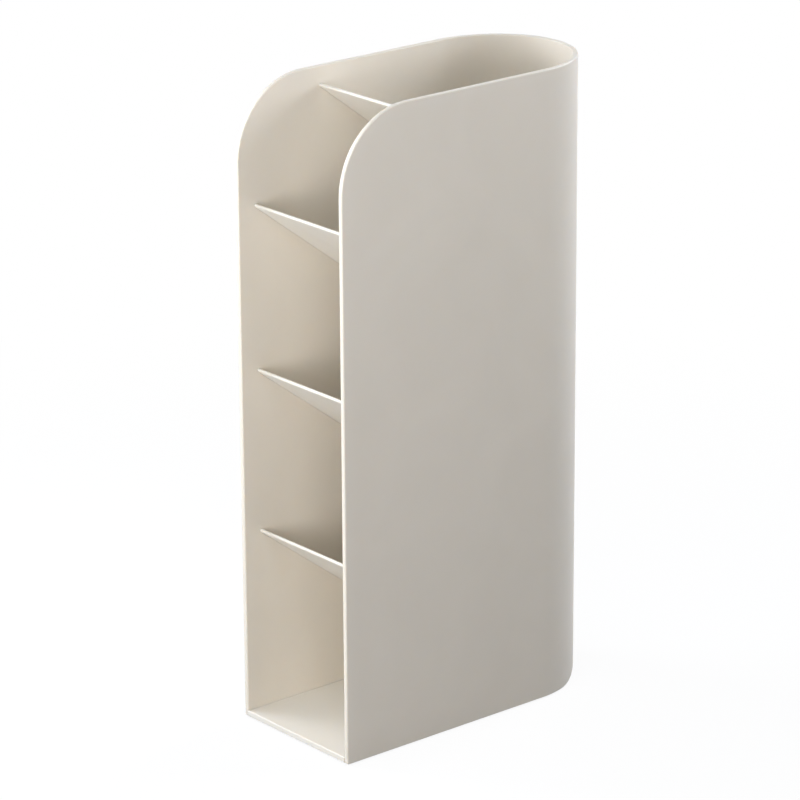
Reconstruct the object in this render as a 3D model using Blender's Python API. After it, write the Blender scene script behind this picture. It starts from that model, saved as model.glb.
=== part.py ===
"""Upright organizer box with an open front and slanted compartments.

A U-shaped wall shell stands on a base panel. Four sloping dividers sit in shallow grooves inside the
wall, and four soft pads under the base keep the box from sliding. The front faces -Y, the box stands
on z = 0, and its origin lies under the middle of its outline.
"""

import math

import bmesh
import bpy
from mathutils import Matrix, Vector

MM = 0.001

# Overall sizes of the shell
WIDTH = 75.6 * MM
DEPTH = 160.0 * MM
SHELL_HEIGHT = 304.5 * MM
WALL = 2.4 * MM

# Rounded forms of the shell: the plan's half-round back, and two corners of the side outline
TURN_DEPTH = 41.0 * MM
FRONT_TOP_RADIUS = 38.0 * MM
BACK_BOTTOM_RADIUS = 26.4 * MM
RIM_ROUNDING = 0.6 * MM

# Gap between pieces that touch, and how far a cut runs past what it cuts
CLEARANCE = 0.3 * MM
OVERRUN = 6.0 * MM

# Base panel, with a tongue along its sides that snaps into the shell
BASE_THICKNESS = 2.8 * MM
TONGUE_HEIGHT = 1.0 * MM
TONGUE_REACH = 1.0 * MM
TONGUE_SETBACK = 8.0 * MM

# Dividers: even steps from the lowest, which ends on the base near the back, to the top one, whose
# slope would pass over the shell's front by an overshoot. Their edges sit in grooves in the wall.
DIVIDER_COUNT = 4
DIVIDER_THICKNESS = 1.6 * MM
DIVIDER_SLOPE = math.radians(37.0)
LOWEST_FOOT_SETBACK = 32.6 * MM
TOP_OVERSHOOT = 20.9 * MM
FRONT_SETBACK = 9.8 * MM
RIM_SETBACK = 7.8 * MM
SEAT_DEPTH = 1.0 * MM

# Foot pads, stuck into shallow round recesses under the base panel
PAD_DIAMETER = 10.0 * MM
PAD_PROUD = 0.8 * MM
PAD_RECESS_DEPTH = 0.8 * MM
PAD_SIDE_INSET = 12.0 * MM
PAD_END_INSET = 14.0 * MM

# Facets of the curved forms
TURN_STEPS = 40
CORNER_STEPS = 14
NOSE_STEPS = 8
RIM_STEPS = 2
PAD_STEPS = 32

# Limits used while meshing: points merged, points taken as lying on an outline, and edges shown sharp
WELD_DISTANCE = 0.001 * MM
OUTLINE_TOLERANCE = 0.01 * MM
SMOOTH_LIMIT = math.radians(30.0)

# The bevel's profile value that gives a circular arc
ROUND_PROFILE = 0.5

# Places that follow from the sizes
FRONT_Y = -DEPTH / 2
BACK_Y = DEPTH / 2
BOTTOM_Z = PAD_PROUD
TOP_Z = BOTTOM_Z + SHELL_HEIGHT
FLOOR_TOP_Z = BOTTOM_Z + BASE_THICKNESS
BASE_END_Y = BACK_Y - BACK_BOTTOM_RADIUS
DIVIDER_RUN = DEPTH - FRONT_SETBACK - LOWEST_FOOT_SETBACK
LOWEST_DIVIDER_Z = FLOOR_TOP_Z + DIVIDER_RUN * math.tan(DIVIDER_SLOPE)
DIVIDER_PITCH = (TOP_Z + TOP_OVERSHOOT - LOWEST_DIVIDER_Z) / (DIVIDER_COUNT - 1)

# Finishes: linear colour, roughness, metallic
SHELL_FINISH = ((0.73, 0.69, 0.61), 0.42, 0.0)
DIVIDER_FINISH = ((0.76, 0.73, 0.66), 0.40, 0.0)
BASE_FINISH = ((0.74, 0.71, 0.64), 0.42, 0.0)
PAD_FINISH = ((0.62, 0.62, 0.60), 0.85, 0.0)

# Axes of the two kinds of outline: a plan lies flat, and a side outline stands in the Y-Z plane
PLAN_AXES = Matrix.Identity(4)
SIDE_AXES = Matrix(((0, 0, 1, 0), (1, 0, 0, 0), (0, 1, 0, 0), (0, 0, 0, 1)))

# Collections: the box's own pieces, and the shapes that cut them
PARTS = "organizer_box"
CUTTERS = "organizer_box_cutters"


def clear_scene():
    """Remove whatever the scene holds."""
    for item in list(bpy.data.objects):
        bpy.data.objects.remove(item, do_unlink=True)


def add_object(name, data, collection_name):
    """Put a new object in the named collection, which is made when it is first asked for."""
    collection = bpy.data.collections.get(collection_name)
    if collection is None:
        collection = bpy.data.collections.new(collection_name)
        bpy.context.scene.collection.children.link(collection)
    item = bpy.data.objects.new(name, data)
    collection.objects.link(item)
    return item


def finish_material(name, finish):
    """Make a plain plastic or rubber material."""
    colour, roughness, metallic = finish
    material = bpy.data.materials.new(name)
    material.use_nodes = True
    shader = material.node_tree.nodes["Principled BSDF"]
    shader.inputs["Base Color"].default_value = (*colour, 1.0)
    shader.inputs["Roughness"].default_value = roughness
    shader.inputs["Metallic"].default_value = metallic
    return material


def arc_points(centre, radii, start, end, steps):
    """Points along an elliptical arc between two angles, both ends included."""
    points = []
    for step in range(steps + 1):
        angle = start + (end - start) * step / steps
        across = centre[0] + radii[0] * math.cos(angle)
        up = centre[1] + radii[1] * math.sin(angle)
        points.append((across, up))
    return points


def plan_outline(inset, front_y):
    """The U of the plan, moved in from the outer face by inset, from one front end to the other."""
    half = WIDTH / 2
    turn_y = BACK_Y - TURN_DEPTH
    points = [(half - inset, front_y)]
    for step in range(TURN_STEPS + 1):
        angle = math.pi * step / TURN_STEPS
        outward = Vector((math.cos(angle) / half, math.sin(angle) / TURN_DEPTH)).normalized()
        across = half * math.cos(angle) - inset * outward.x
        along = turn_y + TURN_DEPTH * math.sin(angle) - inset * outward.y
        points.append((across, along))
    points.append((inset - half, front_y))
    return points


def cut_short(points, end_y):
    """Keep the part of a plan outline in front of end_y, with new corners where it crosses."""
    kept = []
    for start, end in zip(points, points[1:] + points[:1]):
        if start[1] <= end_y:
            kept.append(start)
        if (start[1] < end_y) != (end[1] < end_y):
            share = (end_y - start[1]) / (end[1] - start[1])
            kept.append((start[0] + share * (end[0] - start[0]), end_y))
    return kept


def outline_solid(name, points, low, high, axes, collection):
    """Thicken a closed outline between two distances along its normal, as a welded mesh."""
    curve = bpy.data.curves.new(name, "CURVE")
    curve.dimensions = "2D"
    curve.fill_mode = "BOTH"
    curve.extrude = (high - low) / 2
    spline = curve.splines.new("POLY")
    spline.points.add(len(points) - 1)
    for point, place in zip(spline.points, points):
        point.co = (*place, 0, 1)
    spline.use_cyclic_u = True
    drawn = add_object(name + "_outline", curve, collection)
    depsgraph = bpy.context.evaluated_depsgraph_get()
    mesh = bpy.data.meshes.new_from_object(drawn.evaluated_get(depsgraph))
    bpy.data.objects.remove(drawn, do_unlink=True)
    mesh.transform(axes @ Matrix.Translation((0, 0, (low + high) / 2)))
    weld(mesh)
    mesh.name = name
    return add_object(name, mesh, collection)


def weld(mesh):
    """Merge a closed mesh's doubled points and turn its faces outward."""
    shape = bmesh.new()
    shape.from_mesh(mesh)
    bmesh.ops.remove_doubles(shape, verts=shape.verts, dist=WELD_DISTANCE)
    bmesh.ops.recalc_face_normals(shape, faces=shape.faces)
    shape.to_mesh(mesh)
    shape.free()


def combine(target, other, operation):
    """Join, cut or keep the shared part of target with another solid, for good."""
    modifier = target.modifiers.new(operation.title(), "BOOLEAN")
    modifier.operation = operation
    modifier.object = other
    modifier.solver = "EXACT"
    depsgraph = bpy.context.evaluated_depsgraph_get()
    mesh = bpy.data.meshes.new_from_object(target.evaluated_get(depsgraph))
    target.modifiers.clear()
    target.data = mesh
    other.hide_render = True
    other.display_type = "WIRE"


def set_origin(piece, place):
    """Move a piece's origin to a place of its own, with the piece where it was."""
    piece.data.transform(Matrix.Translation(place).inverted())
    piece.location = place


def dress(piece, material):
    """Give a piece its one material, and smooth shading over its curved faces."""
    piece.data.materials.clear()
    piece.data.materials.append(material)
    piece.data.shade_smooth()
    piece.data.set_sharp_from_angle(angle=SMOOTH_LIMIT)


def hold_together():
    """Hang every piece on one empty at the box's origin."""
    frame = add_object("organizer_box_frame", None, PARTS)
    for piece in bpy.data.collections[PARTS].objects:
        if piece != frame:
            piece.parent = frame


def outer_side_outline():
    """The shell seen from the side, with its rounded front top and back bottom corners."""
    points = [(FRONT_Y, BOTTOM_Z)]
    back_centre = (BACK_Y - BACK_BOTTOM_RADIUS, BOTTOM_Z + BACK_BOTTOM_RADIUS)
    back_radii = (BACK_BOTTOM_RADIUS, BACK_BOTTOM_RADIUS)
    points += arc_points(back_centre, back_radii, -math.pi / 2, 0, CORNER_STEPS)
    points.append((BACK_Y + OVERRUN, back_centre[1]))
    points.append((BACK_Y + OVERRUN, TOP_Z))
    front_centre = (FRONT_Y + FRONT_TOP_RADIUS, TOP_Z - FRONT_TOP_RADIUS)
    front_radii = (FRONT_TOP_RADIUS, FRONT_TOP_RADIUS)
    points += arc_points(front_centre, front_radii, math.pi / 2, math.pi, CORNER_STEPS)
    return points


def inner_side_outline():
    """The room inside the shell seen from the side, open to the front, the top and the base panel."""
    points = [(FRONT_Y - OVERRUN, BOTTOM_Z - OVERRUN), (BASE_END_Y, BOTTOM_Z - OVERRUN)]
    centre = (BACK_Y - BACK_BOTTOM_RADIUS, BOTTOM_Z + BACK_BOTTOM_RADIUS)
    radii = (BACK_BOTTOM_RADIUS - WALL, BACK_BOTTOM_RADIUS - BASE_THICKNESS)
    points += arc_points(centre, radii, -math.pi / 2, 0, CORNER_STEPS)
    points.append((BACK_Y + OVERRUN, centre[1]))
    points.append((BACK_Y + OVERRUN, TOP_Z + OVERRUN))
    points.append((FRONT_Y - OVERRUN, TOP_Z + OVERRUN))
    return points


def upright_block(name, inset, side_points, collection):
    """The solid inside one plan outline and one side outline."""
    plan = plan_outline(inset, FRONT_Y - 2 * OVERRUN)
    block = outline_solid(name, plan, BOTTOM_Z - OVERRUN, TOP_Z + 2 * OVERRUN, PLAN_AXES, collection)
    reach = WIDTH / 2 + OVERRUN
    side = outline_solid(name + "_side", side_points, -reach, reach, SIDE_AXES, CUTTERS)
    combine(block, side, "INTERSECT")
    return block


def divider_front(index):
    """Where a divider's top front edge lies, clear of the rounded rim, as (y, z)."""
    slope = Vector((math.cos(DIVIDER_SLOPE), -math.sin(DIVIDER_SLOPE)))
    height = LOWEST_DIVIDER_Z + index * DIVIDER_PITCH
    first = Vector((FRONT_Y + FRONT_SETBACK, height))
    along = max(0, (height - (TOP_Z - RIM_SETBACK)) / math.sin(DIVIDER_SLOPE))
    centre = Vector((FRONT_Y + FRONT_TOP_RADIUS, TOP_Z - FRONT_TOP_RADIUS))
    offset = first - centre
    room = offset.dot(slope) ** 2 - offset.length_squared + (FRONT_TOP_RADIUS - RIM_SETBACK) ** 2
    if room > 0:
        entry = -offset.dot(slope) - math.sqrt(room)
        place = first + entry * slope
        if entry > 0 and place.x < centre.x and place.y > centre.y:
            along = entry
    return first + along * slope


def divider_side_outline(index, margin):
    """A divider seen from the side, swollen by margin: a round nose, then a slab down to the back."""
    front = divider_front(index)
    slope = Vector((math.cos(DIVIDER_SLOPE), -math.sin(DIVIDER_SLOPE)))
    upward = Vector((math.sin(DIVIDER_SLOPE), math.cos(DIVIDER_SLOPE)))
    radius = DIVIDER_THICKNESS / 2
    centre = front + radius * slope - radius * upward
    nose_radii = (radius + margin, radius + margin)
    turned = math.pi / 2 - DIVIDER_SLOPE
    points = arc_points(centre, nose_radii, turned, turned + math.pi, NOSE_STEPS)
    floor_z = FLOOR_TOP_Z + CLEARANCE - margin
    for edge in (-radius - margin, radius + margin):
        start = centre + edge * upward
        length = (BACK_Y + OVERRUN - start.x) / math.cos(DIVIDER_SLOPE)
        to_floor = (start.y - floor_z) / math.sin(DIVIDER_SLOPE)
        points.append(tuple(start + min(length, to_floor) * slope))
    return points


def divider_solid(name, index, margin, inset, collection):
    """A sloping slab whose sides and back follow the wall's plan at this inset."""
    side_points = divider_side_outline(index, margin)
    plan = plan_outline(inset, FRONT_Y - OVERRUN)
    block = outline_solid(name, plan, BOTTOM_Z - OVERRUN, TOP_Z + OVERRUN, PLAN_AXES, collection)
    reach = WIDTH / 2 + OVERRUN
    side = outline_solid(name + "_side", side_points, -reach, reach, SIDE_AXES, CUTTERS)
    combine(block, side, "INTERSECT")
    return block


def base_plate(name, inset, low, high, front_y, end_y, collection):
    """A flat plate whose sides follow the wall's plan at this inset."""
    points = cut_short(plan_outline(inset, front_y), end_y)
    return outline_solid(name, points, low, high, PLAN_AXES, collection)


def tongue_levels():
    """The bottom and top of the base panel's tongue."""
    middle = (BOTTOM_Z + FLOOR_TOP_Z) / 2
    return middle - TONGUE_HEIGHT / 2, middle + TONGUE_HEIGHT / 2


def on_rim(place):
    """Whether a point lies on the shell's front edges, its top edge or the arcs between them."""
    centre = Vector((FRONT_Y + FRONT_TOP_RADIUS, TOP_Z - FRONT_TOP_RADIUS))
    if place.y < centre.x and place.z > centre.y:
        distance = (Vector((place.y, place.z)) - centre).length
        return abs(distance - FRONT_TOP_RADIUS) < OUTLINE_TOLERANCE
    return min(abs(place.y - FRONT_Y), abs(place.z - TOP_Z)) < OUTLINE_TOLERANCE


def round_rim(shell):
    """Round both long edges of the shell's rim, which runs up the front and round the top."""
    shape = bmesh.new()
    shape.from_mesh(shell.data)
    long_edges = []
    for edge in shape.edges:
        between_faces = edge.calc_face_angle(0)
        if between_faces > SMOOTH_LIMIT and all(on_rim(vert.co) for vert in edge.verts):
            long_edges.append(edge)
    bmesh.ops.bevel(
        shape,
        geom=long_edges,
        offset=RIM_ROUNDING,
        segments=RIM_STEPS,
        profile=ROUND_PROFILE,
        affect="EDGES",
        clamp_overlap=True,
    )
    shape.to_mesh(shell.data)
    shape.free()


def build_shell():
    """The one-piece wall: both sides, the round back and the curved corner under it."""
    shell = upright_block("wall_shell", 0, outer_side_outline(), PARTS)
    room = upright_block("shell_room", WALL, inner_side_outline(), CUTTERS)
    combine(shell, room, "DIFFERENCE")
    round_rim(shell)
    low, high = tongue_levels()
    tongue_room = base_plate(
        "tongue_groove",
        WALL - TONGUE_REACH,
        low - CLEARANCE,
        high + CLEARANCE,
        FRONT_Y + TONGUE_SETBACK - CLEARANCE,
        BASE_END_Y,
        CUTTERS,
    )
    combine(shell, tongue_room, "DIFFERENCE")
    for index in range(DIVIDER_COUNT):
        groove = divider_solid(f"divider_groove_{index + 1}", index, CLEARANCE, WALL - SEAT_DEPTH, CUTTERS)
        combine(shell, groove, "DIFFERENCE")
    set_origin(shell, (0, 0, BOTTOM_Z))
    dress(shell, finish_material("shell_plastic", SHELL_FINISH))


def pad_places():
    """The four foot pads' centres, as (name ending, x, y)."""
    side = WIDTH / 2 - PAD_SIDE_INSET
    rows = {"front": FRONT_Y + PAD_END_INSET, "rear": BASE_END_Y - PAD_END_INSET}
    sides = {"left": -side, "right": side}
    return [(f"{row}_{hand}", sides[hand], rows[row]) for row in rows for hand in sides]


def disc_mesh(name, diameter, height):
    """A round disc that stands on its own origin."""
    shape = bmesh.new()
    bmesh.ops.create_cone(
        shape,
        cap_ends=True,
        segments=PAD_STEPS,
        radius1=diameter / 2,
        radius2=diameter / 2,
        depth=height,
        matrix=Matrix.Translation((0, 0, height / 2)),
    )
    mesh = bpy.data.meshes.new(name)
    shape.to_mesh(mesh)
    shape.free()
    return mesh


def build_base():
    """The flat base panel, with its tongue and its pad recesses."""
    base = base_plate(
        "base_panel", WALL + CLEARANCE, BOTTOM_Z, FLOOR_TOP_Z, FRONT_Y, BASE_END_Y - CLEARANCE, PARTS
    )
    low, high = tongue_levels()
    tongue = base_plate(
        "base_tongue",
        WALL - TONGUE_REACH + CLEARANCE,
        low,
        high,
        FRONT_Y + TONGUE_SETBACK,
        BASE_END_Y - CLEARANCE,
        CUTTERS,
    )
    combine(base, tongue, "UNION")
    recess_mesh = disc_mesh("pad_recess", PAD_DIAMETER + 2 * CLEARANCE, OVERRUN + PAD_RECESS_DEPTH)
    for ending, across, along in pad_places():
        recess = add_object(f"pad_recess_{ending}", recess_mesh, CUTTERS)
        recess.location = (across, along, BOTTOM_Z - OVERRUN)
        combine(base, recess, "DIFFERENCE")
    set_origin(base, (0, FRONT_Y, BOTTOM_Z))
    dress(base, finish_material("base_plastic", BASE_FINISH))


def build_dividers():
    """The four sloping dividers, the lowest first, seated in the wall's grooves."""
    material = finish_material("divider_plastic", DIVIDER_FINISH)
    for index in range(DIVIDER_COUNT):
        divider = divider_solid(f"divider_{index + 1}", index, 0, WALL - SEAT_DEPTH + CLEARANCE, PARTS)
        set_origin(divider, (0, *divider_front(index)))
        dress(divider, material)


def build_pads():
    """The four soft foot pads."""
    material = finish_material("pad_rubber", PAD_FINISH)
    mesh = disc_mesh("foot_pad", PAD_DIAMETER, PAD_PROUD + PAD_RECESS_DEPTH - CLEARANCE)
    for ending, across, along in pad_places():
        pad = add_object(f"foot_pad_{ending}", mesh, PARTS)
        pad.location = (across, along, 0)
        dress(pad, material)


clear_scene()
build_shell()
build_base()
build_dividers()
build_pads()
hold_together()
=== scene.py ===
"""Looks of an upright organizer box of warm white moulded plastic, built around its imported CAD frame.

The wall, the base panel, the four sloping dividers and the foot pads are each modelled at the place of
the CAD node that they stand for. The front faces -Y, and the box stands on z = 0.
"""

import logging
import math
from dataclasses import dataclass
from enum import Enum
from typing import Callable

import bmesh
import bpy
from mathutils import Matrix, Vector


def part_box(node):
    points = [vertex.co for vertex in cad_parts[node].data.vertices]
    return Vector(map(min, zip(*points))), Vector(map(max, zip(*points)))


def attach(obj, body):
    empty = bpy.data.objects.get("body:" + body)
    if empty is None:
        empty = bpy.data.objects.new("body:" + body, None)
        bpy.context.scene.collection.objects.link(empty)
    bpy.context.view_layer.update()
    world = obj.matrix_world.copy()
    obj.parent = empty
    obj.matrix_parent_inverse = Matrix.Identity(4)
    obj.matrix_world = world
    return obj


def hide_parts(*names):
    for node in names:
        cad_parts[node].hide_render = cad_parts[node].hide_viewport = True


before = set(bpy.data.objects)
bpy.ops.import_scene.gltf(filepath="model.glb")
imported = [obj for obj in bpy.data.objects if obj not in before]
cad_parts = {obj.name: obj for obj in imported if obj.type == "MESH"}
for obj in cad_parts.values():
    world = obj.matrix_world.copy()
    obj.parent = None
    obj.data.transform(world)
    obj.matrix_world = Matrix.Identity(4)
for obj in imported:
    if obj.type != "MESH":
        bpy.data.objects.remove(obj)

MM = 0.001
TOUCH = 0.01 * MM  # places closer than this count as the same
WELD = 0.001 * MM  # points closer than this are merged
OVERRUN = 6.0 * MM  # how far a shaping solid runs past what it shapes
SEAM = 0.04 * MM  # the play between pieces that meet
ROUND = 0.5  # the bevel profile of a circular rounding
SHARP_ANGLE = math.radians(30.0)  # edges over this angle aren't smoothed
WHITE = (1.0, 1.0, 1.0, 1.0)

UP = Vector((0.0, 0.0, 1.0))
REARWARD = Vector((0.0, 1.0, 0.0))

log = logging.getLogger("organizer_box")


class Element(Enum):
    """What a selection picks in edit mode."""

    VERT = "VERT"
    EDGE = "EDGE"
    FACE = "FACE"


class Join(Enum):
    """How one solid acts on another."""

    UNION = "UNION"
    DIFFERENCE = "DIFFERENCE"
    INTERSECT = "INTERSECT"


class Mixed(Enum):
    """What a mix node mixes, with the places of its two inputs and of its result."""

    NUMBERS = ("FLOAT", 2, 3, 0)
    COLOURS = ("RGBA", 6, 7, 2)


def leave_edit() -> None:
    """Go back to object mode and select nothing."""
    if bpy.context.object is not None and bpy.context.object.mode != "OBJECT":
        bpy.ops.object.mode_set(mode="OBJECT")
    bpy.ops.object.select_all(action="DESELECT")


def take_up(piece: bpy.types.Object) -> None:
    """Select one piece alone and make it the active one.

    Args:
        piece: The piece that the next operator is for.
    """
    leave_edit()
    piece.select_set(True)
    bpy.context.view_layer.objects.active = piece


def open_edit(piece: bpy.types.Object) -> None:
    """Open one piece in edit mode with nothing in it selected.

    Args:
        piece: The piece to edit.
    """
    take_up(piece)
    bpy.ops.object.mode_set(mode="EDIT")
    bpy.ops.mesh.select_all(action="DESELECT")


def name_new(name: str) -> bpy.types.Object:
    """Name the primitive that was just added and put its place into its mesh.

    Args:
        name: The name for the object and its mesh.

    Returns:
        The new object, at the origin, unturned and unscaled.
    """
    piece = bpy.context.object
    piece.name = name
    piece.data.name = name
    take_up(piece)
    bpy.ops.object.transform_apply(location=True, rotation=True, scale=True)
    return piece


def copy_to(piece: bpy.types.Object, name: str, offset: Vector) -> bpy.types.Object:
    """Copy a piece with a mesh of its own, and move that mesh.

    Args:
        piece: The piece that is copied.
        name: The copy's name.
        offset: How far the copy lies from the piece.

    Returns:
        The copy.
    """
    take_up(piece)
    bpy.ops.object.duplicate(linked=False)
    copy = bpy.context.object
    copy.name = name
    copy.data.name = name
    open_edit(copy)
    bpy.ops.mesh.select_all(action="SELECT")
    bpy.ops.transform.translate(value=offset)
    leave_edit()
    return copy


def drop(piece: bpy.types.Object) -> None:
    """Remove a solid that only served to shape others."""
    bpy.data.objects.remove(piece, do_unlink=True)


def pick(piece: bpy.types.Object, element: Element, wanted: Callable[..., bool]) -> int:
    """Select the parts of the piece in edit mode that pass a test, and nothing else.

    Args:
        piece: The piece that is open in edit mode.
        element: Whether points, edges or faces are picked.
        wanted: The test, which takes one of them.

    Returns:
        How many were picked.
    """
    bpy.ops.mesh.select_mode(type=element.value)
    bpy.ops.mesh.select_all(action="DESELECT")
    shape = bmesh.from_edit_mesh(piece.data)
    shape.normal_update()
    kinds = {Element.VERT: shape.verts, Element.EDGE: shape.edges, Element.FACE: shape.faces}
    picked = [part for part in kinds[element] if wanted(part)]
    for part in picked:
        part.select_set(True)
    bmesh.update_edit_mesh(piece.data)
    return len(picked)


def near(value: float, other: float) -> bool:
    """Whether two lengths are the same within the touching distance."""
    return abs(value - other) < TOUCH


def both_ends(edge: bmesh.types.BMEdge, test: Callable[[Vector], bool]) -> bool:
    """Whether both ends of an edge pass a test of their place."""
    return all(test(vert.co) for vert in edge.verts)


def runs_across(edge: bmesh.types.BMEdge, least: float) -> bool:
    """Whether an edge reaches further than a length from one side of the box towards the other."""
    return abs((edge.verts[0].co - edge.verts[1].co).x) > least


def combine(piece: bpy.types.Object, tool: bpy.types.Object, join: Join) -> None:
    """Join, cut or keep the shared part of a piece with a tool, which is then removed.

    Args:
        piece: The piece that changes.
        tool: The other solid.
        join: How they act on each other.
    """
    take_up(piece)
    modifier = piece.modifiers.new(join.value.lower(), "BOOLEAN")
    modifier.operation = join.value
    modifier.solver = "EXACT"
    modifier.object = tool
    bpy.ops.object.modifier_apply(modifier=modifier.name)
    drop(tool)


def slice_off(piece: bpy.types.Object, place: Vector, outward: Vector) -> None:
    """Cut a piece with a plane, drop what lies on its outward side and close the cut.

    Args:
        piece: The piece that is cut.
        place: A point on the plane.
        outward: The plane's normal, which points at what goes.
    """
    open_edit(piece)
    bpy.ops.mesh.select_all(action="SELECT")
    bpy.ops.mesh.bisect(
        plane_co=place, plane_no=outward, use_fill=True, clear_outer=True, threshold=WELD
    )
    leave_edit()


def round_edges(
    piece: bpy.types.Object, wanted: Callable[[bmesh.types.BMEdge], bool], radius: float, steps: int
) -> int:
    """Round the edges of a piece that pass a test.

    Args:
        piece: The piece that is rounded.
        wanted: The test, which takes an edge.
        radius: The radius of the rounding.
        steps: How many facets it has.

    Returns:
        How many edges were rounded.
    """
    open_edit(piece)
    count = pick(piece, Element.EDGE, wanted)
    if count:
        bpy.ops.mesh.bevel(
            offset=radius, segments=steps, profile=ROUND, affect="EDGES", clamp_overlap=True
        )
    leave_edit()
    return count


def tidy_surface(
    piece: bpy.types.Object, crease: Callable[[bmesh.types.BMEdge], bool] = lambda edge: False
) -> None:
    """Merge doubled points, turn the faces outward and smooth all but the sharp edges.

    Args:
        piece: The piece.
        crease: A test for blunter edges that stay sharp too.
    """
    open_edit(piece)
    bpy.ops.mesh.select_all(action="SELECT")
    bpy.ops.mesh.remove_doubles(threshold=WELD)
    bpy.ops.mesh.normals_make_consistent(inside=False)
    if pick(piece, Element.EDGE, crease):
        bpy.ops.mesh.mark_sharp()
    take_up(piece)
    bpy.ops.object.shade_smooth_by_angle(angle=SHARP_ANGLE)
    modifier = piece.modifiers.new("even_normals", "WEIGHTED_NORMAL")
    modifier.keep_sharp = True
    bpy.ops.object.modifier_apply(modifier=modifier.name)


def box_block(name: str, low: Vector, high: Vector) -> bpy.types.Object:
    """A block between two corners.

    Args:
        name: Its name.
        low: Its lowest corner.
        high: Its highest corner.

    Returns:
        The block.
    """
    leave_edit()
    bpy.ops.mesh.primitive_cube_add(size=1, location=(low + high) / 2, scale=high - low)
    return name_new(name)


@dataclass(frozen=True)
class UPlan:
    """The plan that wall, base and dividers share: two straight sides and a half ellipse behind."""

    half_width: float
    back: float
    turn_depth: float = 41.0 * MM
    steps: int = 64

    def prism(
        self, name: str, inset: float, front: float, low: float, high: float
    ) -> bpy.types.Object:
        """Model an upright solid with this plan.

        Args:
            name: Its name.
            inset: How far its sides lie inside the outer face of the wall.
            front: Where its flat front lies.
            low: The height of its bottom.
            high: The height of its top.

        Returns:
            The closed solid.
        """
        turn = self.back - self.turn_depth
        across = self.half_width - inset
        along = self.turn_depth - inset
        centre = Vector((0, turn, low))
        leave_edit()
        bpy.ops.mesh.primitive_circle_add(
            vertices=2 * self.steps, radius=across, fill_type="NOTHING", location=centre
        )
        piece = name_new(name)
        open_edit(piece)
        bpy.ops.mesh.select_all(action="SELECT")
        bpy.ops.transform.resize(value=(1, along / across, 1), center_override=centre)
        pick(piece, Element.VERT, lambda vert: vert.co.y < turn - TOUCH)
        bpy.ops.mesh.delete(type="VERT")
        pick(piece, Element.VERT, lambda vert: near(vert.co.y, turn))
        bpy.ops.mesh.extrude_vertices_move(TRANSFORM_OT_translate={"value": (0, front - turn, 0)})
        pick(piece, Element.VERT, lambda vert: near(vert.co.y, front))
        bpy.ops.mesh.edge_face_add()
        bpy.ops.mesh.select_all(action="SELECT")
        bpy.ops.mesh.edge_face_add()
        bpy.ops.mesh.select_all(action="SELECT")
        bpy.ops.mesh.extrude_region_move(TRANSFORM_OT_translate={"value": (0, 0, high - low)})
        bpy.ops.mesh.select_all(action="SELECT")
        bpy.ops.mesh.normals_make_consistent(inside=False)
        leave_edit()
        return piece


@dataclass(frozen=True)
class NoiseLook:
    """How a noise breaks up."""

    detail: float
    roughness: float
    distortion: float = 0.0


class Sheet:
    """A node tree that is filled one node at a time."""

    def __init__(self, tree: bpy.types.NodeTree) -> None:
        """Start on a node tree.

        Args:
            tree: The tree of a material, a world or a node group.
        """
        self.tree = tree

    def add(self, kind: str, values: dict | None = None, **settings: object) -> bpy.types.Node:
        """Add one node.

        Args:
            kind: The node's type name.
            values: A number, a colour or an output socket for each input, by name or number.
            settings: Values for its own properties.

        Returns:
            The node.
        """
        node = self.tree.nodes.new(kind)
        for key, value in settings.items():
            setattr(node, key, value)
        for key, value in (values or {}).items():
            self.feed(value, node.inputs[key])
        return node

    def feed(self, value: object, target: bpy.types.NodeSocket) -> None:
        """Link an output socket to an input, or set the input to a plain value."""
        if isinstance(value, bpy.types.NodeSocket):
            self.tree.links.new(value, target)
        else:
            target.default_value = value

    def math(self, operation: str, first: object, second: object = 0.0) -> bpy.types.NodeSocket:
        """Add a sum on two values.

        Args:
            operation: The math node's operation.
            first: A number or an output socket.
            second: A number or an output socket.

        Returns:
            The result's socket.
        """
        return self.add("ShaderNodeMath", {0: first, 1: second}, operation=operation).outputs[0]

    def noise(self, look: NoiseLook, place: object, scale: object) -> bpy.types.NodeSocket:
        """Add a noise.

        Args:
            look: How it breaks up.
            place: The socket of the place that it reads.
            scale: How often it repeats in a metre.

        Returns:
            The socket of its value, from 0 to 1.
        """
        values = {
            "Vector": place,
            "Scale": scale,
            "Detail": look.detail,
            "Roughness": look.roughness,
            "Distortion": look.distortion,
        }
        return self.add("ShaderNodeTexNoise", values).outputs["Fac"]

    def spread(
        self, value: object, source: tuple, target: tuple = (0.0, 1.0), smooth: bool = False
    ) -> bpy.types.NodeSocket:
        """Stretch a value from one range to another, and hold it at the ends.

        Args:
            value: The socket of the value.
            source: The first and last value of its range, as numbers or sockets.
            target: What they become.
            smooth: Whether it eases in and out.

        Returns:
            The result's socket.
        """
        values = {"Value": value}
        for name, amount in zip(("From Min", "From Max", "To Min", "To Max"), source + target):
            values[name] = amount
        kind = "SMOOTHSTEP" if smooth else "LINEAR"
        return self.add("ShaderNodeMapRange", values, interpolation_type=kind).outputs[0]

    def blend(
        self, share: object, first: object, second: object, mixed: Mixed = Mixed.COLOURS
    ) -> bpy.types.NodeSocket:
        """Mix two colours or two numbers.

        Args:
            share: The share of the second one.
            first: A value or a socket.
            second: A value or a socket.
            mixed: Whether they are colours or numbers.

        Returns:
            The result's socket.
        """
        kind, first_input, second_input, result = mixed.value
        values = {0: share, first_input: first, second_input: second}
        return self.add("ShaderNodeMix", values, data_type=kind).outputs[result]

    def group(self, group: bpy.types.NodeTree, values: dict) -> bpy.types.Node:
        """Place a shared node group with its own values, which are given by name."""
        return self.add("ShaderNodeGroup", values, node_tree=group)


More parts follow.
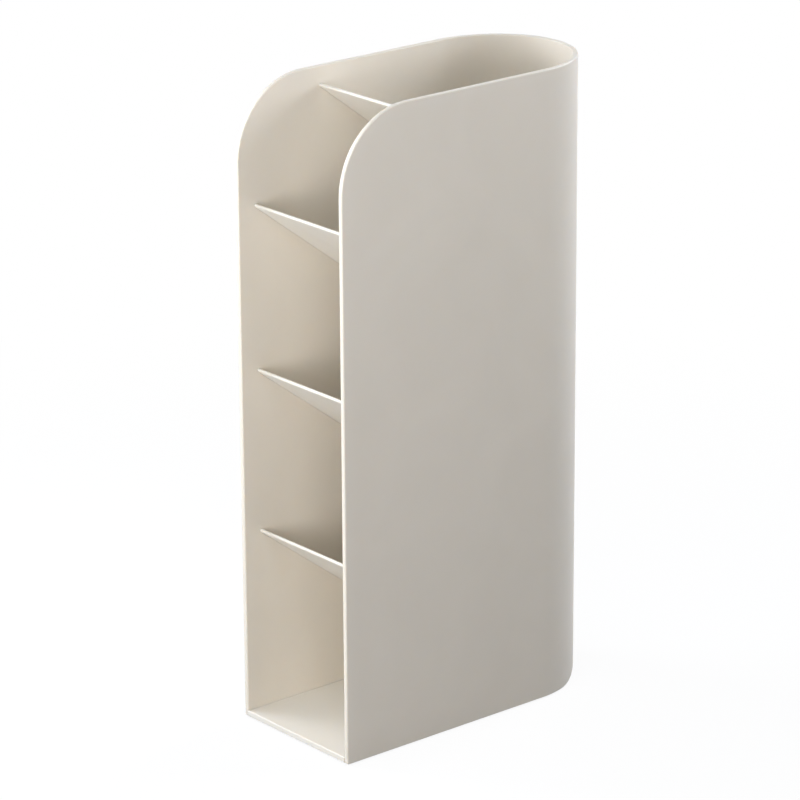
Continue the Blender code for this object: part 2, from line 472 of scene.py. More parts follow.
class SharedGroup:
    """A node group that several finishes use, made when it is first asked for."""

    name = ""
    inputs: tuple = ()
    outputs: tuple = ()

    @classmethod
    def get(cls) -> bpy.types.NodeTree:
        """Find the group, or make it.

        Returns:
            The group's node tree.
        """
        found = bpy.data.node_groups.get(cls.name)
        if found is not None:
            return found
        tree = bpy.data.node_groups.new(cls.name, "ShaderNodeTree")
        for label, kind in cls.inputs:
            tree.interface.new_socket(label, in_out="INPUT", socket_type=kind)
        for label, kind in cls.outputs:
            tree.interface.new_socket(label, in_out="OUTPUT", socket_type=kind)
        sheet = Sheet(tree)
        given = sheet.add("NodeGroupInput").outputs
        wanted = sheet.add("NodeGroupOutput").inputs
        for label, value in cls.fill(sheet, given).items():
            sheet.feed(value, wanted[label])
        return tree

    @classmethod
    def fill(cls, sheet: Sheet, given: object) -> dict:
        """Fill the group's tree.

        Args:
            sheet: The tree to fill.
            given: The sockets that the group's inputs arrive at.

        Returns:
            The socket of each of its outputs, by name.
        """
        raise NotImplementedError


class SatinTexture(SharedGroup):
    """The fine sparked texture of a mould, over the faint waves of the plastic's own skin."""

    name = "satin_texture"
    inputs = (
        ("Place", "NodeSocketVector"),
        ("Grain Scale", "NodeSocketFloat"),
        ("Wave Scale", "NodeSocketFloat"),
        ("Wave Share", "NodeSocketFloat"),
        ("Mottle Scale", "NodeSocketFloat"),
    )
    outputs = (("Height", "NodeSocketFloat"), ("Mottle", "NodeSocketFloat"))
    grain = NoiseLook(detail=3.0, roughness=0.6)
    wave = NoiseLook(detail=2.0, roughness=0.45)
    mottle = NoiseLook(detail=4.0, roughness=0.55, distortion=0.4)

    @classmethod
    def fill(cls, sheet: Sheet, given: object) -> dict:
        """Mix fine grain and slow waves into a height, and give a slow mottle for the gloss."""
        grain = sheet.noise(cls.grain, given["Place"], given["Grain Scale"])
        wave = sheet.noise(cls.wave, given["Place"], given["Wave Scale"])
        height = sheet.blend(given["Wave Share"], grain, wave, Mixed.NUMBERS)
        mottle = sheet.noise(cls.mottle, given["Place"], given["Mottle Scale"])
        return {"Height": height, "Mottle": mottle}


class ToneDrift(SharedGroup):
    """A slow drift between two near tones, as where plastic flowed, with a few fine specks."""

    name = "tone_drift"
    inputs = (
        ("Place", "NodeSocketVector"),
        ("Light Tone", "NodeSocketColor"),
        ("Deep Tone", "NodeSocketColor"),
        ("Drift Scale", "NodeSocketFloat"),
        ("Speck Scale", "NodeSocketFloat"),
        ("Speck Strength", "NodeSocketFloat"),
    )
    outputs = (("Color", "NodeSocketColor"),)
    drift = NoiseLook(detail=3.0, roughness=0.5, distortion=0.8)
    drift_range = (0.3, 0.7)
    speck_edge = (0.03, 0.015)
    speck_rarity = 0.8
    speck_tone = (0.25, 0.2, 0.15, 1.0)

    @classmethod
    def fill(cls, sheet: Sheet, given: object) -> dict:
        """Mix the tones by slow noise, then darken the heart of a few cells."""
        drift = sheet.noise(cls.drift, given["Place"], given["Drift Scale"])
        share = sheet.spread(drift, cls.drift_range)
        tone = sheet.blend(share, given["Deep Tone"], given["Light Tone"])
        values = {"Vector": given["Place"], "Scale": given["Speck Scale"]}
        cells = sheet.add("ShaderNodeTexVoronoi", values, feature="F1")
        heart = sheet.spread(cells.outputs["Distance"], cls.speck_edge, smooth=True)
        split = sheet.add("ShaderNodeSeparateColor", {"Color": cells.outputs["Color"]})
        chance = split.outputs["Red"]
        speck = sheet.math("MULTIPLY", heart, sheet.math("GREATER_THAN", chance, cls.speck_rarity))
        strength = sheet.math("MULTIPLY", speck, given["Speck Strength"])
        return {"Color": sheet.blend(strength, tone, cls.speck_tone)}


class RimNearness(SharedGroup):
    """How near a point lies to the open rim: the front edge, the round corner and the top edge."""

    name = "rim_nearness"
    inputs = (
        ("Place", "NodeSocketVector"),
        ("Corner Y", "NodeSocketFloat"),
        ("Corner Z", "NodeSocketFloat"),
        ("Corner Radius", "NodeSocketFloat"),
        ("Reach", "NodeSocketFloat"),
    )
    outputs = (("Nearness", "NodeSocketFloat"),)

    @classmethod
    def fill(cls, sheet: Sheet, given: object) -> dict:
        """Measure the distance to a rounded corner that two straight edges run into."""
        split = sheet.add("ShaderNodeSeparateXYZ", {"Vector": given["Place"]}).outputs
        ahead = sheet.math("MAXIMUM", sheet.math("SUBTRACT", given["Corner Y"], split["Y"]))
        above = sheet.math("MAXIMUM", sheet.math("SUBTRACT", split["Z"], given["Corner Z"]))
        ahead_squared = sheet.math("MULTIPLY", ahead, ahead)
        above_squared = sheet.math("MULTIPLY", above, above)
        distance = sheet.math("SQRT", sheet.math("ADD", ahead_squared, above_squared))
        depth = sheet.math("SUBTRACT", given["Corner Radius"], distance)
        return {"Nearness": sheet.spread(depth, (0.0, given["Reach"]), (1.0, 0.0), smooth=True)}


@dataclass(frozen=True)
class RimPaintedGlowAndPolish:
    """A painted glow of light through the thin rim, and the smoother gloss that handling leaves."""

    corner_y: float
    corner_z: float
    corner_radius: float
    reach: float = 9.0 * MM
    # the colour and share of the painted glow: light through the thin rim, painted into the colour
    tone: tuple = (0.86, 0.82, 0.75, 1.0)
    share: float = 0.15
    polish: float = 0.05

    def apply(
        self,
        sheet: Sheet,
        place: bpy.types.NodeSocket,
        colour: bpy.types.NodeSocket,
        roughness: bpy.types.NodeSocket,
    ) -> tuple:
        """Paint a lighter glow along the rim, and smooth the finish there.

        Args:
            sheet: The material's tree.
            place: The piece's coordinates.
            colour: The colour so far.
            roughness: The roughness so far.

        Returns:
            The new colour and roughness sockets.
        """
        values = {
            "Place": place,
            "Corner Y": self.corner_y,
            "Corner Z": self.corner_z,
            "Corner Radius": self.corner_radius,
            "Reach": self.reach,
        }
        nearness = sheet.group(RimNearness.get(), values).outputs["Nearness"]
        # painted glow: the colour is lightened near the rim, where light would shine through the
        # plastic
        painted_glow_colour = sheet.blend(sheet.math("MULTIPLY", nearness, self.share), colour, self.tone)
        smoother = sheet.math("SUBTRACT", roughness, sheet.math("MULTIPLY", nearness, self.polish))
        return painted_glow_colour, smoother


@dataclass(frozen=True)
class MouldedPlastic:
    """A warm white satin plastic that lets a little light through."""

    name: str
    light_tone: tuple = (0.82, 0.759, 0.658, 1.0)
    deep_tone: tuple = (0.795, 0.734, 0.634, 1.0)
    drift_scale: float = 22.0
    speck_scale: float = 42.0
    speck_strength: float = 0.5
    grain_scale: float = 2600.0
    wave_scale: float = 120.0
    wave_share: float = 0.35
    mottle_scale: float = 42.0
    mottle_range: tuple = (0.3, 0.7)
    bump_depth: float = 0.03 * MM
    bump_strength: float = 0.35
    gloss_range: tuple = (0.36, 0.46)
    refraction: float = 1.46
    inner_glow: float = 0.5
    glow_radius: tuple = (1.0, 0.88, 0.7)
    glow_depth: float = 1.2 * MM
    rim: RimPaintedGlowAndPolish | None = None

    def make(self) -> bpy.types.Material:
        """Build the material.

        Returns:
            The material, which reads the piece's own coordinates.
        """
        material = bpy.data.materials.new(self.name)
        material.use_nodes = True
        sheet = Sheet(material.node_tree)
        shader = material.node_tree.nodes["Principled BSDF"].inputs
        place = sheet.add("ShaderNodeTexCoord").outputs["Object"]
        colour = self.colour(sheet, place)
        skin = self.skin(sheet, place)
        roughness = sheet.spread(skin["Mottle"], self.mottle_range, self.gloss_range)
        # paints a lighter glow along the rim, and smooths the gloss there
        if self.rim is not None:
            colour, roughness = self.rim.apply(sheet, place, colour, roughness)
        bump = {
            "Strength": self.bump_strength,
            "Distance": self.bump_depth,
            "Height": skin["Height"],
        }
        sheet.feed(colour, shader["Base Color"])
        sheet.feed(roughness, shader["Roughness"])
        sheet.feed(sheet.add("ShaderNodeBump", bump).outputs["Normal"], shader["Normal"])
        sheet.feed(self.refraction, shader["IOR"])
        sheet.feed(self.inner_glow, shader["Subsurface Weight"])
        sheet.feed(self.glow_radius, shader["Subsurface Radius"])
        sheet.feed(self.glow_depth, shader["Subsurface Scale"])
        return material

    def colour(self, sheet: Sheet, place: bpy.types.NodeSocket) -> bpy.types.NodeSocket:
        """Add the drifting tone and its specks, and return the colour's socket."""
        values = {
            "Place": place,
            "Light Tone": self.light_tone,
            "Deep Tone": self.deep_tone,
            "Drift Scale": self.drift_scale,
            "Speck Scale": self.speck_scale,
            "Speck Strength": self.speck_strength,
        }
        return sheet.group(ToneDrift.get(), values).outputs["Color"]

    def skin(self, sheet: Sheet, place: bpy.types.NodeSocket) -> bpy.types.NodeOutputs:
        """Add the surface texture, and return its height and mottle sockets."""
        values = {
            "Place": place,
            "Grain Scale": self.grain_scale,
            "Wave Scale": self.wave_scale,
            "Wave Share": self.wave_share,
            "Mottle Scale": self.mottle_scale,
        }
        return sheet.group(SatinTexture.get(), values).outputs


@dataclass(frozen=True)
class PadRubber(MouldedPlastic):
    """A soft matt rubber with a dusty bloom, which lets no light through."""

    name: str = "grey_pad_rubber"
    light_tone: tuple = (0.66, 0.66, 0.64, 1.0)
    deep_tone: tuple = (0.54, 0.54, 0.53, 1.0)
    drift_scale: float = 500.0
    speck_strength: float = 0.0
    grain_scale: float = 3500.0
    wave_scale: float = 500.0
    wave_share: float = 0.5
    mottle_scale: float = 175.0
    bump_depth: float = 0.05 * MM
    bump_strength: float = 0.6
    gloss_range: tuple = (0.72, 0.9)
    refraction: float = 1.5
    inner_glow: float = 0.0


def dress(piece: bpy.types.Object, material: bpy.types.Material, node: str) -> None:
    """Give a finished piece its material and place on the frame, and hide the node it stands for.

    Args:
        piece: The finished piece.
        material: Its material.
        node: The CAD node that it replaces.
    """
    piece.data.materials.clear()
    piece.data.materials.append(material)
    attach(piece, "root")
    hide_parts(node)
    log.info("%s: %d faces", piece.name, len(piece.data.polygons))


@dataclass
class WallShell:
    """The one-piece wall: two flat sides, the round back and the curved corner under it."""

    node: str
    plan: UPlan
    base_thickness: float
    base_end: float
    wall: float = 2.4 * MM
    front_top_radius: float = 38.0 * MM
    rim_rounding: float = 0.6 * MM
    foot_rounding: float = 0.35 * MM
    foot_slack: float = 0.03 * MM
    upright_tilt: float = 0.01
    crease_angle: float = math.radians(5.0)
    corner_steps: int = 32
    rounding_steps: int = 5

    def __post_init__(self) -> None:
        """Look up the place of the wall's node."""
        self.low, self.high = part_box(self.node)
        self.back_bottom_radius = self.high.y - self.base_end
        self.corner_y = self.low.y + self.front_top_radius
        self.corner_z = self.high.z - self.front_top_radius

    def side_block(self, name: str, inset: float, floor: float, overrun: float) -> bpy.types.Object:
        """Model the block that gives the shell, or the room in it, its outline seen from the side.

        Args:
            name: The block's name.
            inset: How far the back lies inside the outer face.
            floor: The height of its bottom.
            overrun: How far it runs past the front and the top.

        Returns:
            The block, with its back bottom corner rounded.
        """
        reach = self.high.x + OVERRUN
        back = self.high.y - inset + TOUCH
        low = Vector((-reach, self.low.y - overrun, floor))
        high = Vector((reach, back, self.high.z + overrun))
        block = box_block(name, low, high)
        round_edges(
            block,
            lambda edge: both_ends(edge, lambda place: near(place.y, back) and near(place.z, floor)),
            self.back_bottom_radius - inset,
            self.corner_steps,
        )
        return block

    def outer_form(self) -> bpy.types.Object:
        """Model the closed outer form, with the large round corner at the front top."""
        front, bottom, top = self.low.y, self.low.z, self.high.z
        low, high = bottom - OVERRUN, top + OVERRUN
        piece = self.plan.prism("organizer_wall", 0.0, front - OVERRUN, low, high)
        sides = self.side_block("wall_outline", 0.0, bottom, 0.0)
        round_edges(
            sides,
            lambda edge: both_ends(edge, lambda place: near(place.y, front) and near(place.z, top)),
            self.front_top_radius,
            self.corner_steps,
        )
        combine(piece, sides, Join.INTERSECT)
        return piece

    def hollow(self, piece: bpy.types.Object) -> None:
        """Take out the room inside, which is open to the front, the top and the base panel."""
        front, bottom = self.low.y - 2 * OVERRUN, self.low.z - OVERRUN
        floor = self.low.z + self.base_thickness
        room = self.plan.prism("wall_room", self.wall, front, bottom, self.high.z + 2 * OVERRUN)
        sides = self.side_block("room_outline", self.wall, floor, OVERRUN)
        reach = self.high.x + OVERRUN
        opening = box_block(
            "base_opening",
            Vector((-reach, self.low.y - OVERRUN, self.low.z - OVERRUN / 2)),
            Vector((reach, self.base_end, self.low.z + self.back_bottom_radius)),
        )
        combine(sides, opening, Join.UNION)
        combine(room, sides, Join.INTERSECT)
        combine(piece, room, Join.DIFFERENCE)

    def on_rim(self, place: Vector) -> bool:
        """Whether a point lies on the front edges, the top edge or the arcs between them."""
        ahead = self.corner_y - place.y
        above = place.z - self.corner_z
        if ahead > 0 and above > 0:
            return near(math.hypot(ahead, above), self.front_top_radius)
        return near(place.y, self.low.y) or near(place.z, self.high.z)

    def on_foot(self, place: Vector) -> bool:
        """Whether a point lies on the bottom edge or on the arc under the back."""
        behind = place.y - self.base_end
        under = self.low.z + self.back_bottom_radius - place.z
        if behind > 0:
            return abs(math.hypot(behind, under) - self.back_bottom_radius) < self.foot_slack
        return near(place.z, self.low.z)

    def is_sharp(self, edge: bmesh.types.BMEdge, test: Callable[[Vector], bool]) -> bool:
        """Whether an edge is a sharp one with both ends where the test says."""
        return edge.calc_face_angle(0) > SHARP_ANGLE and both_ends(edge, test)

    def on_crease(self, edge: bmesh.types.BMEdge) -> bool:
        """Whether an edge is where the upright back meets the arc under it, up to its blunt tip."""
        tilts = [abs(face.normal.z) for face in edge.link_faces]
        meets = min(tilts) < self.upright_tilt and edge.calc_face_angle(0) > self.crease_angle
        return meets and both_ends(
            edge, lambda place: place.y > self.base_end and self.on_foot(place)
        )

    def build(self, grooves: list[bpy.types.Object]) -> bpy.types.Object:
        """Model the wall.

        Args:
            grooves: The solids that cut the dividers' grooves.

        Returns:
            The finished wall.
        """
        piece = self.outer_form()
        self.hollow(piece)
        rounds = ((self.on_rim, self.rim_rounding), (self.on_foot, self.foot_rounding))
        for test, radius in rounds:
            count = round_edges(
                piece, lambda edge: self.is_sharp(edge, test), radius, self.rounding_steps
            )
            log.info("rounded %d edges of the wall", count)
        for groove in grooves:
            combine(piece, groove, Join.DIFFERENCE)
        tidy_surface(piece, self.on_crease)
        return piece


@dataclass
class SlopedDividers:
    """The plates that slope down to the back, with their edges in the wall's grooves."""

    nodes: list[str]
    plan: UPlan
    floor: float
    inset: float = 1.7 * MM
    thickness: float = 1.6 * MM
    slope: float = math.radians(37.0)
    nose_steps: int = 8

    def __post_init__(self) -> None:
        """Work out the directions of the slope."""
        self.radius = self.thickness / 2
        self.down = Vector((0, math.cos(self.slope), -math.sin(self.slope)))
        self.out = Vector((0, math.sin(self.slope), math.cos(self.slope)))

    def nose(self, node: str) -> Vector:
        """Find the middle of a divider's rounded front edge."""
        low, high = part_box(node)
        return Vector((0, low.y + self.radius, high.z - self.radius))

    def long_plate(self, name: str, swell: float) -> bpy.types.Object:
        """Model a plate that slopes through the middle of the box and runs past its front.

        Args:
            name: The plate's name.
            swell: How far its faces lie outside a divider's.

        Returns:
            The closed solid.
        """
        reach = self.plan.back + OVERRUN
        rise = reach * math.tan(self.slope) + OVERRUN
        piece = self.plan.prism(name, self.inset - swell, -reach, -rise, rise)
        for outward in (self.out, -self.out):
            slice_off(piece, (self.radius + swell) * outward, outward)
        return piece

    def fit(self, plate: bpy.types.Object, name: str, node: str, swell: float) -> bpy.types.Object:
        """Copy the long plate to a divider's height, and give it that divider's ends.

        Args:
            plate: The long plate.
            name: The new solid's name.
            node: The divider's node.
            swell: How far the solid's faces lie outside the divider's.

        Returns:
            The closed solid.
        """
        nose = self.nose(node)
        height = nose.z + nose.y * math.tan(self.slope)
        piece = copy_to(plate, name, height * UP)
        front = nose - (self.radius + swell) * self.down
        slice_off(piece, front, -self.down)
        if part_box(node)[0].z < self.floor + OVERRUN:
            slice_off(piece, (self.floor + SEAM - swell) * UP, -UP)
        round_edges(
            piece,
            lambda edge: runs_across(edge, self.radius)
            and both_ends(edge, lambda place: abs((place - front).dot(self.down)) < TOUCH),
            self.radius + swell - TOUCH,
            self.nose_steps,
        )
        return piece

    def build_all(self, prefix: str, swell: float) -> list[bpy.types.Object]:
        """Model one solid for each divider.

        Args:
            prefix: What their names start with.
            swell: How far their faces lie outside the dividers'.

        Returns:
            The solids, in the order of the nodes.
        """
        plate = self.long_plate(prefix + "plate", swell)
        solids = [self.fit(plate, prefix + node, node, swell) for node in self.nodes]
        drop(plate)
        return solids

    def build(self) -> list[bpy.types.Object]:
        """Model the finished dividers."""
        pieces = self.build_all("sloped_", 0.0)
        for piece in pieces:
            tidy_surface(piece)
        return pieces

    def grooves(self) -> list[bpy.types.Object]:
        """Model the solids that cut the dividers' grooves."""
        return self.build_all("groove_of_", SEAM)


@dataclass
class FootPads:
    """The round soft pads that stand a little proud of the base."""

    nodes: list[str]
    rounding: float = 0.35 * MM
    dish_depth: float = 0.15 * MM
    dish_inset: float = 1.2 * MM
    steps: int = 64
    rounding_steps: int = 4

    def disc(self, name: str, swell: float, height: float) -> bpy.types.Object:
        """Model a plain disc at the first pad's place.

        Args:
            name: Its name.
            swell: How much wider than the pad its radius is.
            height: The height of its top above the pad's sole.

        Returns:
            The disc.
        """
        low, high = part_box(self.nodes[0])
        centre = (low + high) / 2
        leave_edit()
        bpy.ops.mesh.primitive_cylinder_add(
            vertices=self.steps,
            radius=(high.x - low.x) / 2 + swell,
            depth=height,
            location=(centre.x, centre.y, low.z + height / 2),
        )
        return name_new(name)

    def spread(self, first: bpy.types.Object, prefix: str) -> list[bpy.types.Object]:
        """Copy what stands at the first pad's place to the other pads' places.

        Args:
            first: The solid at the first pad's place.
            prefix: What the solids' names start with.

        Returns:
            The solids, in the order of the nodes.
        """
        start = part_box(self.nodes[0])[0]
        others = [copy_to(first, prefix + node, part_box(node)[0] - start) for node in self.nodes[1:]]
        return [first] + others

    def build(self) -> list[bpy.types.Object]:
        """Model the pads, each with a rounded foot and a shallow dish in its sole."""
        low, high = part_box(self.nodes[0])
        piece = self.disc("soft_" + self.nodes[0], 0.0, high.z - low.z)
        round_edges(
            piece,
            lambda edge: both_ends(edge, lambda place: near(place.z, low.z)),
            self.rounding,
            self.rounding_steps,
        )
        open_edit(piece)
        pick(piece, Element.FACE, lambda face: all(near(vert.co.z, low.z) for vert in face.verts))
        bpy.ops.mesh.inset(thickness=self.dish_inset, depth=0)
        bpy.ops.mesh.inset(thickness=self.dish_inset, depth=-self.dish_depth)
        leave_edit()
        tidy_surface(piece)
        return self.spread(piece, "soft_")

    def recesses(self, gap: float, depth: float) -> list[bpy.types.Object]:
        """Model the solids that cut the pads' recesses.

        Args:
            gap: How much wider than a pad they are all round.
            depth: How far above the soles they end.

        Returns:
            The solids.
        """
        first = self.disc("recess_of_" + self.nodes[0], gap, depth)
        return self.spread(first, "recess_of_")


@dataclass
class BasePanel:
    """The flat floor between the sides, flush with the front and bottom edges."""

    node: str
    plan: UPlan
    wall: float
    end_gap: float
    front_rounding: float = 0.5 * MM
    recess_gap: float = 0.3 * MM
    recess_depth: float = 0.8 * MM
    rounding_steps: int = 4

    def build(self, pads: FootPads) -> bpy.types.Object:
        """Model the panel, with a round recess for each pad.

        Args:
            pads: The pads that sit in it.

        Returns:
            The finished panel.
        """
        low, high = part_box(self.node)
        piece = self.plan.prism("floor_panel", self.wall + SEAM, low.y, low.z, high.z)
        slice_off(piece, (high.y + self.end_gap - SEAM) * REARWARD, REARWARD)
        round_edges(
            piece,
            lambda edge: runs_across(edge, self.wall)
            and both_ends(edge, lambda place: near(place.y, low.y)),
            self.front_rounding,
            self.rounding_steps,
        )
        for recess in pads.recesses(self.recess_gap, low.z + self.recess_depth):
            combine(piece, recess, Join.DIFFERENCE)
        tidy_surface(piece)
        return piece


@dataclass(frozen=True)
class SoftLight:
    """A square flat studio lamp that faces the middle of the box, or is tilted up from there.

    Its angles are in degrees: the azimuth from the front towards +X, and the elevation from level.
    """

    name: str
    azimuth: float
    elevation: float
    distance: float
    width: float
    power: float
    colour: tuple
    tilt: float = 0.0
    target: tuple = (0.0, 0.0, 0.15)

    def build(self) -> None:
        """Set the lamp up."""
        lamp = bpy.data.lights.new(self.name, "AREA")
        lamp.shape = "SQUARE"
        lamp.size = self.width
        lamp.energy = self.power
        lamp.color = self.colour
        item = bpy.data.objects.new(self.name, lamp)
        bpy.context.scene.collection.objects.link(item)
        azimuth = math.radians(self.azimuth)
        elevation = math.radians(self.elevation)
        tilt = math.radians(self.tilt)
        level = math.cos(elevation)
        outward = Vector(
            (level * math.sin(azimuth), -level * math.cos(azimuth), math.sin(elevation))
        )
        across = Vector((math.cos(azimuth), math.sin(azimuth), 0.0))
        upward = outward.cross(across)
        facing = upward * math.sin(tilt) - outward * math.cos(tilt)
        item.location = Vector(self.target) + self.distance * outward
        item.rotation_euler = facing.to_track_quat("-Z", "Y").to_euler()
        item.visible_camera = False


@dataclass(frozen=True)
class PhotoCamera:
    """The camera, at the photograph's place and viewing angle."""

    place: tuple = (1375.06 * MM, -1167.07 * MM, 771.61 * MM)
    right: tuple = (0.643403, 0.765506, -0.005858)
    up: tuple = (-0.246568, 0.214472, 0.945096)
    lens: float = 186.42
    sensor: float = 36.0

    def build(self) -> None:
        """Create the camera and make it the scene's."""
        data = bpy.data.cameras.new("photo_camera")
        data.lens = self.lens
        data.sensor_width = self.sensor
        item = bpy.data.objects.new("photo_camera", data)
        bpy.context.scene.collection.objects.link(item)
        right = Vector(self.right).normalized()
        up = Vector(self.up).normalized()
        turn = Matrix((right, up, right.cross(up))).transposed().to_4x4()
        item.matrix_world = Matrix.Translation(self.place) @ turn
        bpy.context.scene.camera = item


@dataclass(frozen=True)
class StudioFloor:
    """The plain white floor, which keeps the object's soft shadow and is see-through from below.

    It bounces light as a dark grey would, so that the box keeps its shading. It is shifted so that
    the diagonal that splits it into triangles isn't under the box.
    """

    size: float = 12.0
    shift: float = 0.5
    drop: float = 0.05 * MM
    tone: tuple = (0.3, 0.3, 0.3, 1.0)
    white_share: float = 0.92
    shadow_reach: tuple = (0.12, 0.6)

    def build(self) -> None:
        """Lay the floor."""
        leave_edit()
        place = (self.shift, -self.shift, -self.drop)
        bpy.ops.mesh.primitive_plane_add(size=self.size, location=place)
        floor = name_new("studio_floor")
        material = bpy.data.materials.new("studio_floor")
        material.use_nodes = True
        sheet = Sheet(material.node_tree)
        shader = material.node_tree.nodes["Principled BSDF"]
        output = material.node_tree.nodes["Material Output"]
        direct = seen_directly(sheet)
        sheet.feed(sheet.blend(direct, self.tone, WHITE), shader.inputs["Base Color"])
        sheet.feed(1.0, shader.inputs["Roughness"])
        sheet.feed(0.0, shader.inputs["Specular IOR Level"])
        glow = sheet.add("ShaderNodeEmission", {"Color": WHITE, "Strength": 1.0})
        lit = sheet.add("ShaderNodeMixShader", {0: self.white_part(sheet, direct)})
        sheet.feed(shader.outputs[0], lit.inputs[1])
        sheet.feed(glow.outputs[0], lit.inputs[2])
        from_below = sheet.math(
            "MULTIPLY",
            sheet.add("ShaderNodeNewGeometry").outputs["Backfacing"],
            sheet.add("ShaderNodeLightPath").outputs["Is Camera Ray"],
        )
        see_through = sheet.add("ShaderNodeMixShader", {0: from_below, 1: lit.outputs[0]})
        sheet.feed(sheet.add("ShaderNodeBsdfTransparent").outputs[0], see_through.inputs[2])
        sheet.feed(see_through.outputs[0], output.inputs["Surface"])
        floor.data.materials.append(material)

    def white_part(self, sheet: Sheet, direct: bpy.types.NodeSocket) -> bpy.types.NodeSocket:
        """Work out how much of the floor is plain white: all of it, away from the object's shadow.

        Args:
            sheet: The floor's tree.
            direct: A socket that is 1 for rays that see the floor directly.

        Returns:
            The share's socket.
        """
        place = sheet.add("ShaderNodeTexCoord").outputs["Object"]
        length = sheet.add("ShaderNodeVectorMath", {0: place}, operation="LENGTH")
        distance = length.outputs["Value"]
        share = sheet.spread(distance, self.shadow_reach, (self.white_share, 1.0), smooth=True)
        return sheet.math("MULTIPLY", share, direct)


def seen_directly(sheet: Sheet) -> bpy.types.NodeSocket:
    """Say whether a ray comes from the camera, or through a reflection or glass.

    Args:
        sheet: The tree that the nodes go into.

    Returns:
        A socket that is 1 for such rays and 0 for the rest.
    """
    path = sheet.add("ShaderNodeLightPath").outputs
    mirrored = sheet.math("MAXIMUM", path["Is Glossy Ray"], path["Is Transmission Ray"])
    return sheet.math("MAXIMUM", path["Is Camera Ray"], mirrored)


@dataclass(frozen=True)
class StudioSky:
    """Even light from all round, with plain white behind the object."""

    tone: tuple = (1.0, 0.985, 0.965, 1.0)
    strength: float = 0.02

    def build(self) -> None:
        """Set up the world."""
        world = bpy.data.worlds.new("studio_sky")
        world.use_nodes = True
        bpy.context.scene.world = world
        sheet = Sheet(world.node_tree)
        light = world.node_tree.nodes["Background"]
        sheet.feed(self.tone, light.inputs["Color"])
        sheet.feed(self.strength, light.inputs["Strength"])
        white = sheet.add("ShaderNodeBackground", {"Color": WHITE, "Strength": 1.0})
        mix = sheet.add("ShaderNodeMixShader", {0: seen_directly(sheet)})
        sheet.feed(light.outputs[0], mix.inputs[1])
        sheet.feed(white.outputs[0], mix.inputs[2])
        sheet.feed(mix.outputs[0], world.node_tree.nodes["World Output"].inputs["Surface"])


@dataclass(frozen=True)
class Studio:
    """The floor, the sky and the lamps."""

    floor: StudioFloor = StudioFloor()
    sky: StudioSky = StudioSky()
    lamps: tuple = (
        SoftLight(
            "key_lamp", azimuth=50.0, elevation=10.0, distance=1.5, width=0.6, power=6.0,
            colour=(0.96, 0.955, 0.985), tilt=50.0,
        ),
        SoftLight(
            "high_key_lamp", azimuth=40.0, elevation=45.0, distance=0.6, width=0.3, power=0.84,
            colour=(0.899, 0.948, 1.0),
        ),
        SoftLight(
            "low_key_lamp", azimuth=35.0, elevation=8.0, distance=1.5, width=0.6, power=1.18,
            colour=(0.998, 1.0, 0.986),
        ),
        SoftLight(
            "near_front_lamp", azimuth=15.0, elevation=5.0, distance=0.6, width=0.25, power=0.978,
            colour=(1.0, 0.961, 0.977),
        ),
        SoftLight(
            "front_lamp", azimuth=0.0, elevation=5.0, distance=0.6, width=0.25, power=0.861,
            colour=(0.862, 0.938, 1.0),
        ),
        SoftLight(
            "high_left_lamp", azimuth=-30.0, elevation=40.0, distance=0.6, width=0.3, power=0.84,
            colour=(0.866, 0.914, 1.0),
        ),
        SoftLight(
            "left_lamp", azimuth=-60.0, elevation=30.0, distance=0.7, width=0.3, power=2.94,
            colour=(0.876, 0.919, 1.0),
        ),
        SoftLight(
            "back_right_lamp", azimuth=150.0, elevation=30.0, distance=0.7, width=0.3, power=2.25,
            colour=(0.862, 0.9, 0.985), tilt=34.0,
        ),
        SoftLight(
            "back_lamp", azimuth=180.0, elevation=35.0, distance=1.4, width=0.6, power=9.45,
            colour=(0.885, 0.921, 1.0),
        ),
    )

    def build(self) -> None:
        """Set the studio up."""
        bpy.context.scene.view_settings.view_transform = "Standard"
        self.floor.build()
        self.sky.build()
        for lamp in self.lamps:
            lamp.build()


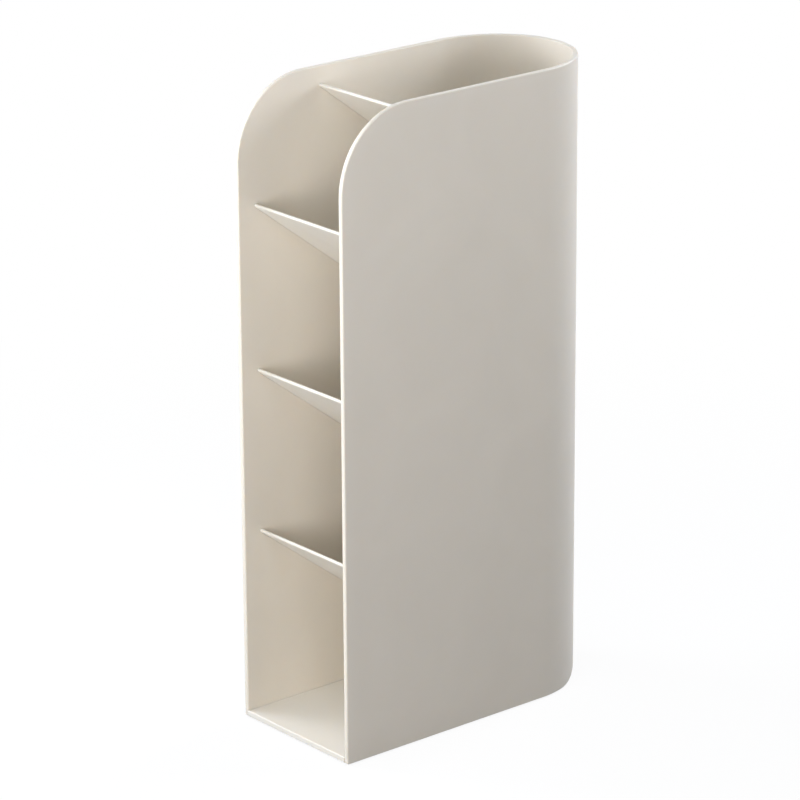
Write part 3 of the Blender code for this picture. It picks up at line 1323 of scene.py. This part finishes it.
@dataclass
class OrganizerBox:
    """The whole box: its wall, base panel, dividers and foot pads."""

    panel_gap: float = 0.3 * MM
    # more neutral than the wall's tones: a painted reflection of white surroundings on the base and
    # dividers
    inner_light_tone_painted_reflection: tuple = (0.808, 0.767, 0.688, 1.0)
    inner_deep_tone_painted_reflection: tuple = (0.783, 0.742, 0.664, 1.0)

    def __post_init__(self) -> None:
        """Set the pieces out from their nodes."""
        nodes = sorted(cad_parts)
        wall_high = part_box("wall_shell")[1]
        base_low, base_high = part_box("base_panel")
        plan = UPlan(half_width=wall_high.x, back=wall_high.y)
        base_thickness, base_end = base_high.z - base_low.z, base_high.y + self.panel_gap
        self.wall = WallShell("wall_shell", plan, base_thickness, base_end)
        self.base = BasePanel("base_panel", plan, self.wall.wall, self.panel_gap)
        dividers = [node for node in nodes if node.startswith("divider")]
        self.dividers = SlopedDividers(dividers, plan, base_high.z)
        self.pads = FootPads([node for node in nodes if node.startswith("foot_pad")])

    def build_wall(self) -> None:
        """Build and dress the wall."""
        # the wall's rim gets a painted glow and a smoother gloss
        rim = RimPaintedGlowAndPolish(self.wall.corner_y, self.wall.corner_z, self.wall.front_top_radius)
        plastic = MouldedPlastic("cream_shell_plastic", rim=rim).make()
        dress(self.wall.build(self.dividers.grooves()), plastic, self.wall.node)

    def inner_plastic(self, name: str) -> bpy.types.Material:
        """Make the base or divider plastic, more neutral in tone as a painted white reflection."""
        return MouldedPlastic(name, self.inner_light_tone_painted_reflection, self.inner_deep_tone_painted_reflection).make()

    def build_base(self) -> None:
        """Build and dress the base panel and its pads."""
        plastic = self.inner_plastic("cream_base_plastic")
        dress(self.base.build(self.pads), plastic, self.base.node)
        rubber = PadRubber().make()
        for node, pad in zip(self.pads.nodes, self.pads.build()):
            dress(pad, rubber, node)

    def build_dividers(self) -> None:
        """Build and dress the dividers."""
        plastic = self.inner_plastic("cream_divider_plastic")
        for node, divider in zip(self.dividers.nodes, self.dividers.build()):
            dress(divider, plastic, node)

    def build(self) -> None:
        """Build all the pieces in order."""
        self.build_wall()
        self.build_base()
        self.build_dividers()


def main() -> None:
    """Build the box's pieces, then the studio and the camera."""
    logging.basicConfig(level=logging.INFO, format="%(name)s: %(message)s")
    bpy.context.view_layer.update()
    OrganizerBox().build()
    Studio().build()
    PhotoCamera().build()
    leave_edit()


if __name__ == "__main__":
    main()
